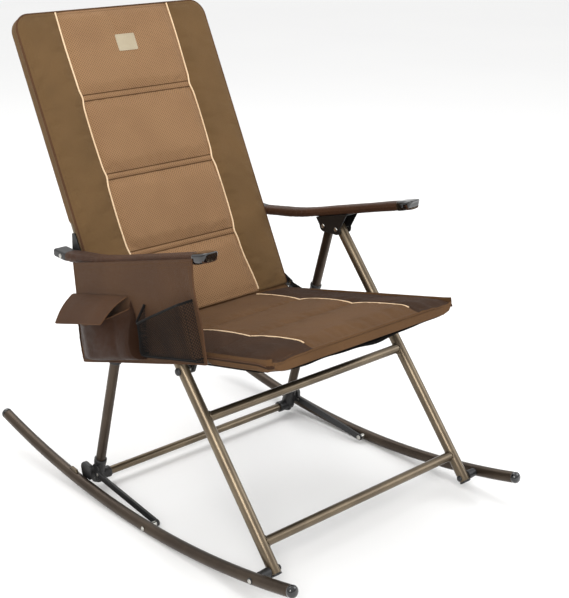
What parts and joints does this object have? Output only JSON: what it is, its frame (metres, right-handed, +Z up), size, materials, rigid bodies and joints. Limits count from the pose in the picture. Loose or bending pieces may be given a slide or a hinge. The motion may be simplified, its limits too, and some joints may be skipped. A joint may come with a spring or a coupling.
{
  "type": "folding camp rocking chair",
  "caption": "High-backed camp rocking chair: padded seat and back on a folding tube frame with curved rockers, padded arms and a side storage pocket.",
  "frame": {"origin": "middle of the bounding box, on the floor", "axes": "+Z up, the chair faces -Y, +X towards the left arm of a sitter, -X towards the arm with the pocket"},
  "size_m": [0.701, 1.0388, 1.0295],
  "materials": {
    "bronze_tube": "satin bronze powder coat",
    "black_metal": "satin black",
    "bolt_metal": "bright plated",
    "black_plastic": "matte",
    "gloss_cap": "gloss",
    "seat_fabric": "padded mesh and woven cloth",
    "arm_fabric": "woven polyester over foam",
    "pocket_fabric": "coated woven polyester",
    "mesh_fabric": "knitted mesh"
  },
  "bodies": {
    "front_frame": {"front_leg_R": "bronze_tube", "front_leg_L": "bronze_tube", "foot_plug_R": "black_plastic", "foot_plug_L": "black_plastic", "rocker_bolt_R": "bolt_metal", "rocker_bolt_L": "bolt_metal", "seat_bolt_R": "bolt_metal", "seat_bolt_L": "bolt_metal", "crossbar_lower": "bronze_tube", "crossbar_upper": "bronze_tube"},
    "seat": {"seat_front_tube": "bronze_tube", "seat_pad": "seat_fabric", "seat_rear_bar": "bronze_tube", "seat_rail_R": "bronze_tube", "seat_rail_L": "bronze_tube", "seat_hinge_R": "black_metal", "seat_hinge_L": "black_metal"},
    "back": {"back_top_tube": "bronze_tube", "back_pad": "seat_fabric", "back_lower_bar": "bronze_tube", "back_rail_R": "bronze_tube", "back_rail_L": "bronze_tube", "back_hinge_R": "black_metal", "back_hinge_L": "black_metal", "back_bracket_R": "black_metal", "back_bracket_L": "black_metal"},
    "rear_frame": {"rear_crossbar": "bronze_tube", "rear_leg_R": "bronze_tube", "rear_leg_L": "bronze_tube", "hub_R": "black_plastic", "hub_L": "black_plastic"},
    "flap": {"pouch_flap": "pocket_fabric"},
    "rocker_R": {"rocker_R": "bronze_tube", "rocker_cap_front_R": "black_plastic", "rocker_cap_rear_R": "black_plastic", "link_bolt_R": "bolt_metal", "hub_rest_R": "black_plastic"},
    "link_R": {"link_R": "black_plastic"},
    "arm_R": {"arm_sleeve_R": "arm_fabric", "arm_tube_R": "bronze_tube", "arm_front_cap_R": "gloss_cap", "arm_rear_cap_R": "black_plastic", "arm_bracket_R": "black_metal", "pocket_panel": "pocket_fabric", "pouch": "pocket_fabric", "mesh_pocket": "mesh_fabric"},
    "slider_R": {"slider_R": "black_plastic"},
    "rocker_L": {"rocker_L": "bronze_tube", "rocker_cap_front_L": "black_plastic", "rocker_cap_rear_L": "black_plastic", "link_bolt_L": "bolt_metal", "hub_rest_L": "black_plastic"},
    "link_L": {"link_L": "black_plastic"},
    "arm_L": {"arm_sleeve_L": "arm_fabric", "arm_tube_L": "bronze_tube", "arm_front_cap_L": "gloss_cap", "arm_rear_cap_L": "black_plastic", "arm_bracket_L": "black_metal"},
    "slider_L": {"slider_L": "black_plastic"}
  },
  "joints": [
    {"name": "fold", "type": "hinge", "parent": "front_frame", "child": "seat", "pos_m": [0, -0.13271, 0.383], "axis": [1, 0, 0], "range_deg": [-92, 0]},
    {"name": "arm_L_hinge", "type": "hinge", "parent": "front_frame", "child": "arm_L", "pos_m": [0, -0.0055, 0.541], "axis": [1, 0, 0], "range_deg": [-92, 0]},
    {"name": "arm_R_hinge", "type": "hinge", "parent": "front_frame", "child": "arm_R", "pos_m": [0, -0.0055, 0.541], "axis": [1, 0, 0], "range_deg": [-92, 0]},
    {"name": "back_hinge", "type": "hinge", "parent": "seat", "child": "back", "pos_m": [0, 0.14745, 0.37472], "axis": [1, 0, 0], "range_deg": [0, 92]},
    {"name": "rear_legs_hinge", "type": "hinge", "parent": "arm_L", "child": "rear_frame", "pos_m": [0, 0.0365, 0.541], "axis": [1, 0, 0], "range_deg": [0, 50.79]},
    {"name": "slider_L_slide", "type": "slide", "parent": "rear_frame", "child": "slider_L", "axis": [0, 0.2815, -0.9596], "range_m": [0, 0.1881]},
    {"name": "slider_R_slide", "type": "slide", "parent": "rear_frame", "child": "slider_R", "axis": [0, 0.2815, -0.9596], "range_m": [0, 0.1881]},
    {"name": "rocker_L_hinge", "type": "hinge", "parent": "front_frame", "child": "rocker_L", "pos_m": [0, -0.403, 0.0473], "axis": [1, 0, 0], "range_deg": [0, 41.01]},
    {"name": "rocker_R_hinge", "type": "hinge", "parent": "front_frame", "child": "rocker_R", "pos_m": [0, -0.403, 0.0473], "axis": [1, 0, 0], "range_deg": [0, 41.01]},
    {"name": "link_L_hinge", "type": "hinge", "parent": "rocker_L", "child": "link_L", "pos_m": [0, -0.057, 0.014], "axis": [1, 0, 0], "range_deg": [-163.01, 0]},
    {"name": "link_R_hinge", "type": "hinge", "parent": "rocker_R", "child": "link_R", "pos_m": [0, -0.057, 0.014], "axis": [1, 0, 0], "range_deg": [-163.01, 0]},
    {"name": "flap_hinge", "type": "hinge", "parent": "arm_R", "child": "flap", "pos_m": [-0.313, 0.214, 0.462], "axis": [0, 0.9753, -0.2207], "range_deg": [0, 90]}
  ],
  "couplings": [
    {"joint": "arm_L_hinge", "follows": "fold", "ratio": 1},
    {"joint": "arm_R_hinge", "follows": "fold", "ratio": 1},
    {"joint": "back_hinge", "follows": "fold", "ratio": -1},
    {"joint": "rear_legs_hinge", "follows": "fold", "ratio": -0.552},
    {"joint": "slider_L_slide", "follows": "fold", "m_per_rad": -0.11685},
    {"joint": "slider_R_slide", "follows": "fold", "m_per_rad": -0.11685},
    {"joint": "rocker_L_hinge", "follows": "fold", "ratio": -0.44565},
    {"joint": "rocker_R_hinge", "follows": "fold", "ratio": -0.44565},
    {"joint": "link_L_hinge", "follows": "fold", "ratio": 1.7717},
    {"joint": "link_R_hinge", "follows": "fold", "ratio": 1.7717}
  ]
}
